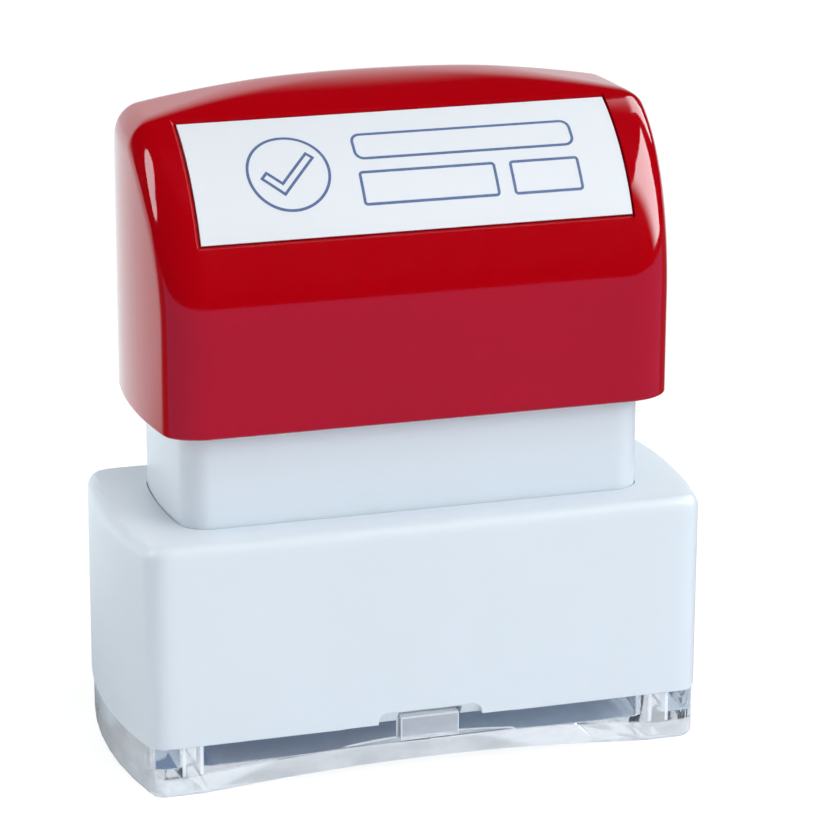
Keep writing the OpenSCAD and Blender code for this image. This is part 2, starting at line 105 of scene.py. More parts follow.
# Where the floor's colours change, from the stamp's middle: in reflections, then through the clear cover,
# where a shadow under the stamp is painted on the floor, shifted left and darker on the left
MIRROR_FRONT = (-30 * MM, 0)
MIRROR_BACK = (-20 * MM, 100 * MM)
MIRROR_SPREAD = 0.45
PAINTED_SHADE_FADE = (-30 * MM, 30 * MM)
SHADE_SHIFT = 4 * MM
SHADE_EDGE_X = (27 * MM, 34 * MM)
SHADE_EDGE_Y = (11 * MM, 16.5 * MM)
# Where the sky's reflection starts and is full, as the y of its direction
SKY_EDGE = (0.64, 0.88)
# Side of the floor, and how far it lies below the cover's feet
FLOOR_SIZE = 6
FLOOR_DROP = 0.02 * MM


def number(default, name, description, **more):
    """A number that a user may change."""
    return bpy.props.FloatProperty(name=name, description=description, default=default, **more)


def length(default, name, description):
    """A size that a user may change, given in millimetres and kept in metres."""
    return number(default * MM, name, description, unit="LENGTH", subtype="DISTANCE", precision=5)


def degrees(default, name, description):
    """An angle that a user may change, given in degrees and kept in radians."""
    return number(math.radians(default), name, description, subtype="ANGLE")


def share(default, name, description):
    """A share of one that a user may change."""
    return number(default, name, description, min=0, max=1, subtype="FACTOR")


def point(default, name, description):
    """A place that a user may change, given in millimetres and kept in metres."""
    place = [part * MM for part in default]
    return bpy.props.FloatVectorProperty(
        name=name, description=description, default=place, size=3, subtype="TRANSLATION"
    )


def colour(default, name, description):
    """A colour that a user may change."""
    return bpy.props.FloatVectorProperty(
        name=name, description=description, default=default, size=3, min=0, max=1, subtype="COLOR"
    )


class StampShells(bpy.types.PropertyGroup):
    """Sizes of the cap, the housing and the clear cover."""

    end_bow: length(64, "End bow", "Radius of the bowed ends of the cap, the neck and the housing")
    cap_edge: length(3, "Cap edge", "Rounding of the cap's upright corners")
    crown_edge: length(2.8, "Crown edge", "Rounding between the crown and the ends")
    crown_back: length(5, "Crown back", "Rounding between the crown and the back")
    crown_lift: length(0.25, "Crown lift", "Extra height of the crown before its edges are rounded")
    cap_ease: length(1.6, "Cap ease", "Extra length of the rounding along the cap's curved front")
    ease_start: length(1.5, "Ease start", "How far below the crown the extra length starts")
    ease_reach: length(6, "Ease reach", "Distance over which the extra length grows to its full size")
    cap_wall: length(2, "Cap wall", "Wall of the cap")
    cap_rim: length(0.5, "Cap rim", "Rounding of the cap's lower rim")
    cap_ridge: length(0.5, "Cap ridge", "Rounding of the ridge between the front and the crown")
    front_height: length(12.2, "Upright front", "Height of the upright part of the cap's front")
    front_radius: length(25, "Front radius", "Radius of the cap's curved front")
    crown_radius: length(158, "Crown radius", "Radius of the crown along the cap")
    rib: length(1, "Grip rib", "Thickness of the grip ribs inside the cap")
    rib_pitch: length(13, "Rib pitch", "Distance between the grip ribs on the long sides")
    end_rib_pitch: length(9, "End rib pitch", "Distance between the grip ribs on the ends")
    rib_start: length(1.5, "Rib start", "How far the grip ribs start above the rim")
    web: length(1.4, "Cross web", "Thickness of the cross webs inside the cap")
    web_pitch: length(21, "Web pitch", "Distance between the cross webs")
    neck_length: length(57.5, "Neck length", "Length of the neck")
    neck_depth: length(21.4, "Neck depth", "Depth of the neck, front to back")
    neck_corner: length(3.4, "Neck corner", "Corner radius of the neck in plan")
    housing_corner: length(2.2, "Housing corner", "Corner radius of the housing in plan")
    housing_edge: length(1.4, "Housing edge", "Rounding of the housing's top edge")
    housing_end_edge: length(1.7, "Housing end edge", "Rounding of the top edge at the housing's ends")
    housing_wall: length(2.1, "Housing wall", "Wall above the base frame")
    skirt_wall: length(1.5, "Skirt wall", "Wall around the base frame and the cover's rails")
    housing_top: length(2, "Housing top", "Thickness of the housing's top")
    notch_length: length(14.8, "Notch length", "Length of the finger notch")
    notch_height: length(1.45, "Notch height", "Height of the finger notch")
    notch_slope: length(0.9, "Notch slope", "How far the sloping finger notch goes into the wall")
    notch_lip: length(0.2, "Notch lip", "Height left over the opening for the tab in the finger notch")
    cover_inset: length(0.25, "Cover inset", "How far the cover stays inside the housing's outline")
    cover_edge: length(0.9, "Cover edge", "Rounding of the cover's lower edge")
    cover_floor: length(2.8, "Cover floor", "Height of the top of the cover's floor")
    foot_length: length(6.8, "Foot length", "Length of each foot, from the housing's end to the arch")
    arch_rise: length(1.5, "Arch rise", "Rise of the arch under the cover")
    well_length: length(56, "Well length", "Length of the cover's well")
    well_depth: length(26.2, "Well depth", "Depth of the cover's well, front to back")
    well_corner: length(2, "Well corner", "Corner radius of the well")
    pocket_rib: length(2.1, "Pocket rib", "Rib between the well and each end pocket")
    pocket_length: length(3.2, "Pocket length", "Length of each end pocket")
    pocket_depth: length(25, "Pocket depth", "Depth of each end pocket, front to back")
    rail: length(1.2, "Rail", "Thickness of the cover's rails")
    rail_length: length(52, "Rail length", "Length of the cover's rails")
    tab_length: length(7.3, "Tab length", "Length of the pry tab")
    tab_rise: length(0.5, "Tab rise", "How far the pry tab stands up into the notch")
    scoop_length: length(21.8, "Scoop length", "Length of the scoop beside the tab")
    scoop_depth: length(1.5, "Scoop depth", "Depth of the scoop")
    scoop_height: length(2.5, "Scoop height", "Height of the scoop")
    small_edge: length(0.18, "Small edge", "Rounding of the small edges of the cover")
    slab: length(2.35, "Milky slab", "Thickness of the milky slab over the cover's arch")
    slide_gap: length(0.3, "Slide gap", "Gap between pieces that slide past each other")
    mouth_gap: length(0.14, "Mouth gap", "Gap between the neck and the edge of the housing's opening")


class StampLabel(bpy.types.PropertyGroup):
    """Sizes of the label's recess and print, and of the wound and felt pieces."""

    label_length: length(52.1, "Label length", "Length of the label")
    label_width: length(16.4, "Label width", "Width of the label along the curve")
    label_start: degrees(24.4, "Label start", "Angle of the label's lower edge, up the curved front")
    label_recess: length(0.6, "Recess", "Depth of the label's recess")
    label_gap: length(0.25, "Recess gap", "Gap around the label in its recess")
    label_lip: length(0.34, "Recess lip", "Chamfer around the label's recess")
    label_height: length(0.4, "Label height", "Height of the label's face over the recess")
    print_line: length(0.34, "Print line", "Width of the printed lines")
    print_height: length(0.02, "Print height", "Thickness of the printed lines")
    ring_x: length(-14.5, "Ring place", "Place of the printed ring along the label")
    ring_radius: length(5, "Ring radius", "Radius of the printed ring")
    tick_x: length(-0.9, "Tick place", "Place of the tick's corner along the label, from the ring's middle")
    tick_y: length(-2.1, "Tick height", "Height of the tick's corner, from the ring's middle")
    tick_size: length(5.4, "Tick size", "Size of the printed tick")
    tick_turn: degrees(48, "Tick turn", "Turn of the printed tick on its corner")
    bars_x: length(7.2, "Bars place", "Place of the printed bars along the label")
    bar_length: length(27, "Bar length", "Length of the upper printed bar")
    upper_y: length(2.9, "Upper place", "Height of the upper bar, from the label's middle")
    upper_height: length(3.8, "Upper height", "Size of the upper bar across the label")
    upper_corner: length(1.2, "Upper corner", "Corner of the upper bar")
    lower_y: length(-2.7, "Lower place", "Height of the lower bars, from the label's middle")
    lower_height: length(4.4, "Lower height", "Size of the lower bars across the label")
    lower_corner: length(0.5, "Lower corner", "Corner of the lower bars")
    lower_long: length(16.6, "Long bar", "Length of the longer lower bar")
    lower_short: length(8.6, "Short bar", "Length of the shorter lower bar")
    lower_gap: length(1.7, "Bar gap", "Gap between the lower bars")
    spring_diameter: length(3.4, "Spring diameter", "Outside diameter of a return spring")
    spring_wire: length(0.45, "Spring wire", "Diameter of the spring wire")
    spring_turns: bpy.props.IntProperty(
        name="Spring turns", description="Turns of a return spring", default=7
    )
    wick_edge: length(0.6, "Wick edge", "Rounding of a wick's top")


class StampColours(bpy.types.PropertyGroup):
    """Colours of the finishes, and how milky the clear cover is."""

    red: colour((0.4, 0.0, 0.004), "Red", "Gloss plastic of the cap")
    white: colour((0.72, 0.80, 0.87), "White", "Plastic of the housing and the neck")
    clear: colour((0.9, 0.95, 1.0), "Clear", "Clear plastic of the cover")
    inner: colour((0.42, 0.46, 0.50), "Inner grey", "Plain plastic inside")
    dark: colour((0.07, 0.085, 0.11), "Dark grey", "Plastic of the die frame")
    steel: colour((0.55, 0.56, 0.58), "Steel", "Springs and posts")
    ink: colour((0.014, 0.035, 0.13), "Ink", "Felt and rubber soaked with ink")
    label: colour((0.73, 0.765, 0.81), "Label", "Film of the label")
    print: colour((0.07, 0.13, 0.30), "Print", "Printed lines on the label")
    clear_part: share(0.97, "Clear part", "How much light the cover lets through where it is clear")
    slab_veil: share(0.66, "Slab veil", "How milky the slab over the cover's arch is")
    end_veil: share(0.6, "End veil", "How milky the cover's ends are")
    rib_veil: share(0.45, "Rib veil", "How milky the ribs beside the end pockets are")
    tab_veil: share(0.4, "Tab veil", "How milky the pry tabs are")
    # Milky lines at the sides of the ribs stand in for their highlights: painted highlights
    rib_highlight_veil: share(0.85, "Line veil", "How bright the lines at the sides of the ribs are")


class StampStudio(bpy.types.PropertyGroup):
    """Camera, lamps, floor and sky."""

    camera_place: point((-125.77, -401.89, 171.09), "Camera place", "Where the camera stands")
    camera_aim: point((3.016, 0, 38.951), "Camera aim", "What the camera looks at")
    camera_roll: degrees(0.255, "Camera roll", "Turn of the camera about its view")
    camera_lens: number(158.91, "Lens", "Focal length in millimetres")
    lamp_aim: point((0, 0, 45), "Lamp aim", "What the lamps face")
    sky: number(0.3, "Sky", "Strength of the even light from all round")
    sky_tint: colour((0.95, 0.98, 1.0), "Sky tint", "Colour of the even light")
    sky_white: number(0.95, "White sky", "Strength of the sky that the camera and the clear plastic see")
    sky_mirror: number(1.1, "Mirrored sky", "Strength of the sky low behind the stamp, in reflections")
    sky_dark: number(0.01, "Dark sky", "Strength of the rest of the sky, in reflections")
    mirror_tint: colour((0.86, 0.97, 1.0), "Mirror tint", "Colour of what shows only in reflections")
    floor: colour((0.9, 0.9, 0.9), "Floor", "Studio floor")
    floor_white: number(1.15, "White floor", "Strength of the plain white that the camera sees on the floor")
    floor_glow: share(0.72, "Floor glow", "Share of the floor that the camera sees as plain white")
    floor_mirror: number(1.25, "Mirrored floor", "Strength of the floor in reflections")
    floor_front: colour((0.2, 0.26, 0.6), "Floor in front", "Colour of the floor in front, in reflections")
    floor_side: colour((0.07, 0.08, 0.1), "Floor beside", "Colour of the floor at the ends, in reflections")
    # A shadow under the stamp painted on the floor, which only the clear cover shows, darker at the left than
    # at the right
    painted_shade_left: colour((0.07, 0.13, 0.23), "Under left", "Colour through the clear cover, at its left")
    painted_shade_right: colour((0.34, 0.47, 0.64), "Under right", "Colour through the clear cover, at its right")
    beside: colour((0.7, 0.74, 0.78), "Beside", "Colour of the floor round it, through the clear cover")


def shells():
    return bpy.context.scene.stamp_shells


def label():
    return bpy.context.scene.stamp_label


def colours():
    return bpy.context.scene.stamp_colours


def studio():
    return bpy.context.scene.stamp_studio


# Modelling tools

def focus(piece):
    """Makes a piece the only one selected, and the active one."""
    bpy.ops.object.select_all(action="DESELECT")
    piece.select_set(True)
    bpy.context.view_layer.objects.active = piece


def settle(piece):
    """Puts a piece's place, turn and scale into its mesh."""
    focus(piece)
    bpy.ops.object.transform_apply(location=True, rotation=True, scale=True)


def named(name):
    """Names the active piece, and settles it."""
    piece = bpy.context.active_object
    piece.name = name
    piece.data.name = name
    settle(piece)
    return piece


def added(name, primitive, **settings):
    """Adds a primitive with nothing else selected, and names it."""
    bpy.ops.object.select_all(action="DESELECT")
    primitive(**settings)
    return named(name)


def box_piece(name, low, high):
    """A box between two corners."""
    low = Vector(low)
    high = Vector(high)
    return added(name, bpy.ops.mesh.primitive_cube_add, size=1, location=(low + high) / 2, scale=high - low)


def drum_piece(name, radius, depth, place, across, vertices):
    """A cylinder, upright or lying along y."""
    turn = (math.pi / 2, 0, 0) if across else (0, 0, 0)
    return added(
        name, bpy.ops.mesh.primitive_cylinder_add, vertices=vertices, radius=radius, depth=depth,
        location=place, rotation=turn,
    )


@contextmanager
def editing(piece):
    """Edit mode on one piece."""
    focus(piece)
    bpy.ops.object.mode_set(mode="EDIT")
    yield
    bpy.ops.object.mode_set(mode="OBJECT")


def edited_mesh():
    return bmesh.from_edit_mesh(bpy.context.edit_object.data)


def update_mesh():
    bmesh.update_edit_mesh(bpy.context.edit_object.data)


def pick(test):
    """Selects the edges that pass a test."""
    bpy.ops.mesh.select_mode(type="EDGE")
    bpy.ops.mesh.select_all(action="DESELECT")
    shape = edited_mesh()
    for edge in shape.edges:
        if test(edge):
            edge.select_set(True)
    update_mesh()


def pick_faces():
    """Selects all faces of the mesh being edited."""
    bpy.ops.mesh.select_mode(type="FACE")
    bpy.ops.mesh.select_all(action="SELECT")


def pick_ridges(test):
    """Selects the edges whose faces meet at about a right angle, and whose ends pass a test."""
    low = math.radians(45)
    high = math.radians(120)
    pick(lambda e: low < e.calc_face_angle(0) < high and all(test(v.co) for v in e.verts))


def slice_across(axis, places):
    """Cuts the mesh being edited across an axis at each of the places."""
    normal = np.eye(3)[axis]
    for place in places:
        bpy.ops.mesh.select_all(action="SELECT")
        bpy.ops.mesh.bisect(plane_co=normal * place, plane_no=normal)


def reshape(place):
    """Moves each vertex of the mesh being edited to the place worked out for it."""
    for vertex in edited_mesh().verts:
        vertex.co = place(vertex.co)
    update_mesh()


def face_outwards():
    """Turns all faces of the mesh being edited outwards."""
    bpy.ops.mesh.select_all(action="SELECT")
    bpy.ops.mesh.normals_make_consistent(inside=False)


def round_edges(radius, segments):
    """Bevels the selected edges."""
    bpy.ops.mesh.bevel(
        offset=radius, offset_type="OFFSET", segments=segments, profile=0.5, clamp_overlap=False
    )


def apply_modifier(piece, kind, **settings):
    """Adds a modifier to a piece and applies it."""
    focus(piece)
    modifier = piece.modifiers.new(kind.lower(), kind)
    for name, value in settings.items():
        setattr(modifier, name, value)
    bpy.ops.object.modifier_apply(modifier=modifier.name)


def combine(piece, others, operation):
    """Cuts or joins a piece with other closed pieces, which are used up."""
    for other in others:
        apply_modifier(piece, "BOOLEAN", operation=operation, object=other, solver="MANIFOLD")
        bpy.data.objects.remove(other, do_unlink=True)


def coat(piece, material):
    """Gives a piece one material all over."""
    piece.data.materials.clear()
    piece.data.materials.append(material)
    piece.data.polygons.foreach_set("material_index", [0] * len(piece.data.polygons))


def smooth(piece, angle=32):
    """Shades a piece smooth, with sharp edges past an angle and flat faces kept flat."""
    focus(piece)
    bpy.ops.object.shade_smooth_by_angle(angle=math.radians(angle))
    apply_modifier(piece, "WEIGHTED_NORMAL", keep_sharp=True, weight=60)


def spread(count, pitch):
    """Places of copies in a row about the middle."""
    return [(i - (count - 1) / 2) * pitch for i in range(count)]


def arc_radius(half_chord, rise):
    """Radius of an arc with a rise over a chord."""
    return (half_chord ** 2 + rise ** 2) / (2 * rise)


def bow_back(y, radius):
    """How far a bowed end lies back at depth y."""
    return radius - math.sqrt(radius ** 2 - y ** 2)


def bowed_block(name, half_length, half_depth, low, high, corner, inset=0, bottom=0):
    """An upright block with bowed ends and round corners in plan, and a rounded lower edge."""
    bow = shells().end_bow - inset
    half_length = half_length - inset
    half_depth = half_depth - inset
    corner = max(corner - inset, LEAST_CORNER)
    lean = math.asin(half_depth / bow)

    def bowed(p):
        back = math.copysign(bow_back(p.y, bow), p.x) if abs(p.x) > OVER else p.x
        return Vector((p.x - back, p.y, p.z))

    clear_of_corner = half_depth - 1.2 * corner
    piece = box_piece(name, (-half_length, -half_depth, low), (half_length, half_depth, high))
    with editing(piece):
        slice_across(0, [0])
        slice_across(1, spread(BOW_CUTS, 2 * clear_of_corner / (BOW_CUTS - 1)))
        reshape(bowed)
        pick_ridges(lambda p: abs(abs(p.y) - half_depth) < MM / 10 and abs(p.x) > OVER)
        round_edges(corner * math.tan(math.pi / 4 - lean / 2), segments=10)
        if bottom:
            pick_ridges(lambda p: abs(p.z - low) < MM / 100)
            round_edges(bottom, segments=6)
    return piece


# Forms with rounded edges

def rounded(radius, *gaps):
    """How far points lie outside faces that meet in rounded edges, from their gaps to each face."""
    raised = [gap + radius for gap in gaps]
    outside = np.sqrt(sum(np.maximum(gap, 0) ** 2 for gap in raised))
    return outside + np.minimum(np.maximum.reduce(raised), 0) - radius


def eased(gap, radius, ease):
    """A gap to a face whose rounding starts further away from it, by ease."""
    drawn_in = (gap + radius + ease) * radius / (radius + ease) - radius
    return np.where(gap > -radius - ease, drawn_in, gap + ease)


def end_gap(x, y, end):
    """How far points lie outside the bowed ends of a piece that reaches to end."""
    bow = shells().end_bow
    return np.hypot(np.abs(x) - end + bow, y) - bow


def pressed_box(name, low, high, cuts, gap):
    """A finely cut box, closer cut at its edges, pressed onto the form that a gap to it describes."""
    piece = box_piece(name, low, high)
    with editing(piece):
        bpy.ops.mesh.select_all(action="SELECT")
        bpy.ops.mesh.subdivide(number_cuts=cuts)
    middle = (np.array(low) + np.array(high)) / 2
    reach = np.array(high) - middle
    points = np.empty(3 * len(piece.data.vertices))
    piece.data.vertices.foreach_get("co", points)
    part = (points.reshape(-1, 3) - middle) / reach
    points = middle + reach * ((1 + CROWDING) * part - CROWDING * part ** 3)
    step = MM / 1000
    for _ in range(PRESSES):
        off = gap(points)
        slope = np.stack([(gap(points + way) - off) / step for way in np.eye(3) * step], axis=1)
        points = points - slope * (off / (slope ** 2).sum(axis=1))[:, None]
    piece.data.vertices.foreach_set("co", points.ravel())
    piece.data.update()
    return piece


# Cap

def front_axis():
    """Depth and height of the axis of the cap's curved front."""
    s = shells()
    return CAP_LOW.y + s.front_radius, CAP_LOW.z + s.front_height


def cap_gap(points, inset, low):
    """How far points lie outside the cap's closed form: curved front, crown, bowed ends and flat back."""
    s = shells()
    x, y, z = points.T
    axis_y, axis_z = front_axis()
    front = np.hypot(np.minimum(y - axis_y, 0), np.maximum(z - axis_z, 0)) - s.front_radius
    crown = np.hypot(x, z - CAP_HIGH.z - s.crown_lift + s.crown_radius) - s.crown_radius
    ends = end_gap(x, y, CAP_HIGH.x)
    growth = np.clip((-crown - s.ease_start) / s.ease_reach, 0, 1)
    edge = s.crown_edge + (s.cap_edge - s.crown_edge) * growth
    roof = rounded(s.crown_back, crown, y - CAP_HIGH.y)
    shell = rounded(edge, rounded(s.cap_ridge, front, roof), eased(ends, edge, s.cap_ease * growth))
    return rounded(s.cap_rim, shell + inset, low - z)


def cap_braces():
    """Grip ribs and cross webs inside the cap, as boxes that reach into its wall."""
    s = shells()
    half_wall = s.cap_wall / 2
    face_x = s.neck_length / 2 + s.slide_gap
    face_y = s.neck_depth / 2 + s.slide_gap
    rib_low = CAP_LOW.z + s.rib_start
    boxes = []
    for side in (-1, 1):
        for x in spread(SIDE_RIBS, s.rib_pitch):
            ys = sorted((side * face_y, side * (CAP_HIGH.y - half_wall)))
            boxes.append(((x - s.rib / 2, ys[0], rib_low), (x + s.rib / 2, ys[1], NECK_TOP)))
        for y in spread(END_RIBS, s.end_rib_pitch):
            xs = sorted((side * face_x, side * (CAP_HIGH.x - half_wall)))
            boxes.append(((xs[0], y - s.rib / 2, rib_low), (xs[1], y + s.rib / 2, NECK_TOP)))
    for x in spread(WEBS, s.web_pitch):
        boxes.append(((x - s.web / 2, CAP_LOW.y, NECK_TOP), (x + s.web / 2, CAP_HIGH.y, CAP_HIGH.z)))
    return [box_piece("cap_brace", low, high) for low, high in boxes]


def on_front(p, radius):
    """A flat point bent round the cap's curved front: x along it, y up the curve, z out from the radius."""
    turn = label().label_start + p.y / shells().front_radius
    reach = radius + p.z
    axis_y, axis_z = front_axis()
    return Vector((p.x, axis_y - reach * math.cos(turn), axis_z + reach * math.sin(turn)))


def label_cutter():
    """The label's recess, as a slab bent round the curved front."""
    t = label()
    half = t.label_length / 2 + t.label_gap
    low = -t.label_gap
    high = t.label_width + t.label_gap
    lip = t.label_recess - t.label_lip
    middle = (low + high) / 2

    def flare(p):
        """Opens the slab into a chamfer at its lower, upper and left edges."""
        out = max(p.z - lip, 0)
        return Vector((p.x - out if p.x < 0 else p.x, p.y + out * (p.y - middle) / (high - middle), p.z))

    piece = box_piece("label_cutter", (-half, low, 0), (half, high, t.label_recess + OVER))
    with editing(piece):
        slice_across(2, [lip])
        slice_across(1, [low + (high - low) * i / RECESS_CUTS for i in range(1, RECESS_CUTS)])
        reshape(lambda p: on_front(flare(p), shells().front_radius - t.label_recess))
    return piece


class STAMP_OT_cap(bpy.types.Operator):
    """Models the gloss cap with its crown, hollow, ribs and label recess"""

    bl_idname = "stamp.cap"
    bl_label = "Cap"

    def execute(self, context):
        wall = shells().cap_wall
        low = CAP_LOW - Vector((0, 0, OVER))
        cap = pressed_box("cap_shell", CAP_LOW, CAP_HIGH, CAP_CUTS, lambda p: cap_gap(p, 0, CAP_LOW.z))
        hollow = pressed_box("cap_hollow", low, CAP_HIGH, HOLLOW_CUTS, lambda p: cap_gap(p, wall, low.z))
        combine(hollow, cap_braces(), "DIFFERENCE")
        combine(cap, [hollow, label_cutter()], "DIFFERENCE")
        smooth(cap)
        coat(cap, red_plastic())
        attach(cap, "handle")
        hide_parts("handle_cap")
        return {"FINISHED"}


# Housing and clear cover

def housing_gap(points):
    """How far points lie outside the housing's closed form, with a larger rounding at its bowed ends."""
    s = shells()
    x, y, z = points.T
    sides = np.abs(y) - HOUSING_HIGH.y
    ends = end_gap(x, y, HOUSING_HIGH.x)
    at_end = np.clip((ends - sides) / (2 * s.housing_corner) + 0.5, 0, 1)
    edge = s.housing_edge + (s.housing_end_edge - s.housing_edge) * at_end
    shell = rounded(edge, rounded(s.housing_corner, sides, ends), z - HOUSING_HIGH.z)
    return rounded(0, shell, HOUSING_LOW.z - z)


class STAMP_OT_housing(bpy.types.Operator):
    """Models the white housing with its hollow, neck opening and finger notches"""

    bl_idname = "stamp.housing"
    bl_label = "Housing"

    def notch(self, side):
        """A finger scoop that slopes out of the front or back wall, and the opening for the pry tab in it."""
        s = shells()
        low = HOUSING_LOW.z
        face = side * HOUSING_HIGH.y
        outer = face + side * OVER
        ys = sorted((outer, face - side * s.notch_slope))
        reach = s.notch_length / 2
        scoop = box_piece("notch_scoop", (-reach, ys[0], low - OVER), (reach, ys[1], low + s.notch_height))

        def loft(p):
            """Draws the scoop in to an edge at its inner side."""
            part = 1 + side * (p.y - face) / s.notch_slope
            rise = (p.z - low) * part if p.z > low else p.z - low
            return Vector((p.x - math.copysign((1 - part) * s.notch_slope, p.x), p.y, low + rise))

        with editing(scoop):
            pick(lambda e: all(v.co.z > low for v in e.verts) and e.verts[0].co.y != e.verts[1].co.y)
            round_edges(NOTCH_ROUND * s.notch_height, segments=6)
            reshape(loft)
        ys = sorted((outer, face - side * (s.skirt_wall + OVER / 2)))
        reach = s.tab_length / 2 + s.slide_gap
        top = low + s.notch_height - s.notch_lip
        return [scoop, box_piece("notch_opening", (-reach, ys[0], low - OVER), (reach, ys[1], top))]

    def execute(self, context):
        s = shells()
        half = (HOUSING_HIGH.x, HOUSING_HIGH.y)
        low = HOUSING_LOW.z
        high = HOUSING_HIGH.z
        ceiling = high - s.housing_top
        neck = (s.neck_length / 2, s.neck_depth / 2)
        shell = pressed_box("housing_shell", HOUSING_LOW, HOUSING_HIGH, HOUSING_CUTS, housing_gap)
        skirt = bowed_block("skirt_cut", *half, low - OVER, BASE_HIGH.z, s.housing_corner, s.skirt_wall)
        room = bowed_block("room_cut", *half, BASE_LOW.z, ceiling, s.housing_corner, s.housing_wall)
        mouth = bowed_block("mouth_cut", *neck, ceiling - OVER, high + OVER, s.neck_corner, -s.mouth_gap)
        combine(shell, [skirt, room, mouth] + self.notch(-1) + self.notch(1), "DIFFERENCE")
        smooth(shell, angle=20)
        coat(shell, white_plastic())
        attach(shell, "housing")
        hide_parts("housing")
        return {"FINISHED"}


class STAMP_OT_cover(bpy.types.Operator):
    """Models the clear cover with its arch, well, pockets, rails, scoops and pry tabs"""

    bl_idname = "stamp.cover"
    bl_label = "Clear cover"

    def middle_cuts(self, top):
        """The arch under the cover and the well in it."""
        s = shells()
        radius = arc_radius(HOUSING_HIGH.x - s.foot_length, s.arch_rise)
        place = (0, 0, s.arch_rise - radius)
        arch = drum_piece("arch_cut", radius, 3 * HOUSING_HIGH.y, place, True, ARCH_SIDES)
        half = (s.well_length / 2, s.well_depth / 2)
        well = box_piece("well_cut", (-half[0], -half[1], s.cover_floor), (*half, top + OVER))
        with editing(well):
            pick(lambda e: abs(e.verts[0].co.z - e.verts[1].co.z) > OVER)
            round_edges(s.well_corner, segments=8)
        return [arch, well]

    def side_cuts(self, side, face, top):
        """A pocket at one end, and the scoop in the front or back."""
        s = shells()
        start = s.well_length / 2 + s.pocket_rib
        xs = sorted((side * start, side * (start + s.pocket_length)))
        half = s.pocket_depth / 2
        pocket = box_piece("pocket_cut", (xs[0], -half, s.cover_floor), (xs[1], half, top + OVER))
        radius = arc_radius(s.scoop_length / 2, s.scoop_depth)
        place = (0, side * (face + radius - s.scoop_depth), top + (OVER - s.scoop_height) / 2)
        scoop = drum_piece("scoop_cut", radius, s.scoop_height + OVER, place, False, SCOOP_SIDES)
        return [pocket, scoop]

    def side_adds(self, side, face, top):
        """The pry tab and the rail at the front or back."""
        s = shells()
        low = top - s.scoop_height
        half = s.tab_length / 2
        ys = sorted((side * face, side * (face - s.scoop_depth - s.rail / 2)))
        tab = box_piece("pry_tab", (-half, ys[0], low), (half, ys[1], top + s.tab_rise))
        half = s.rail_length / 2
        rail_face = HOUSING_HIGH.y - s.skirt_wall - s.slide_gap
        ys = sorted((side * rail_face, side * (rail_face - s.rail)))
        return [tab, box_piece("rail", (-half, ys[0], low), (half, ys[1], COVER_HIGH.z))]

    def execute(self, context):
        s = shells()
        top = HOUSING_LOW.z
        face = HOUSING_HIGH.y - s.cover_inset
        tray = bowed_block(
            "cover_tray", HOUSING_HIGH.x, HOUSING_HIGH.y, COVER_LOW.z, top, s.housing_corner, s.cover_inset,
            bottom=s.cover_edge,
        )
        cuts = self.middle_cuts(top) + self.side_cuts(-1, face, top) + self.side_cuts(1, face, top)
        combine(tray, cuts, "DIFFERENCE")
        combine(tray, self.side_adds(-1, face, top) + self.side_adds(1, face, top), "UNION")
        coat(tray, clear_plastic())
        # The bevels below get a partly milky finish: painted highlights on the small edges
        tray.data.materials.append(painted_edge_highlight())
        apply_modifier(
            tray, "BEVEL", width=s.small_edge, segments=2, limit_method="ANGLE", angle_limit=math.radians(40),
            material=1, use_clamp_overlap=False,
        )
        smooth(tray)
        # Clear plastic lets the light through to the floor and the housing
        tray.visible_shadow = False
        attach(tray, "cover")
        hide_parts("dust_cover")
        return {"FINISHED"}


# Print, springs and wicks

def laid(piece, middle, size=(1, 1), turn=0):
    """Puts a flat piece at its place on the label, at its size and turn."""
    piece.location = (*middle, 0)
    piece.scale = (*size, 1)
    piece.rotation_euler.z = turn
    settle(piece)


def outline(piece):
    """Turns a flat face into a printed outline of it."""
    with editing(piece):
        pick_faces()
        bpy.ops.mesh.inset(thickness=label().print_line, use_boundary=True)
        bpy.ops.mesh.delete(type="FACE")
    return piece


def print_ring(middle, radius):
    """A printed ring."""
    return outline(added(
        "print_ring", bpy.ops.mesh.primitive_circle_add, vertices=RING_SIDES, radius=radius, fill_type="NGON",
        location=(*middle, 0),
    ))


def print_tick(middle, size):
    """A printed tick: a corner with a long and a short arm, turned on that corner."""
    width = TICK_WIDTH * size
    piece = added("print_tick", bpy.ops.mesh.primitive_plane_add, size=width)
    with editing(piece):
        for axis, part in enumerate(TICK_ARMS):
            reach = np.eye(3)[axis] * part * size
            pick(lambda e, a=axis: all(v.co[a] > width / 4 and abs(v.co[1 - a]) < width for v in e.verts))
            bpy.ops.mesh.extrude_region_move(TRANSFORM_OT_translate={"value": reach})
        pick_faces()
        bpy.ops.mesh.dissolve_faces()
    laid(piece, middle, turn=label().tick_turn)
    return outline(piece)


def print_bar(middle, size, corner):
    """A printed bar with round corners."""
    piece = added("print_bar", bpy.ops.mesh.primitive_plane_add, size=1)
    laid(piece, middle, size)
    with editing(piece):
        bpy.ops.mesh.select_all(action="SELECT")
        bpy.ops.mesh.bevel(offset=corner, segments=6, affect="VERTICES")
    return outline(piece)


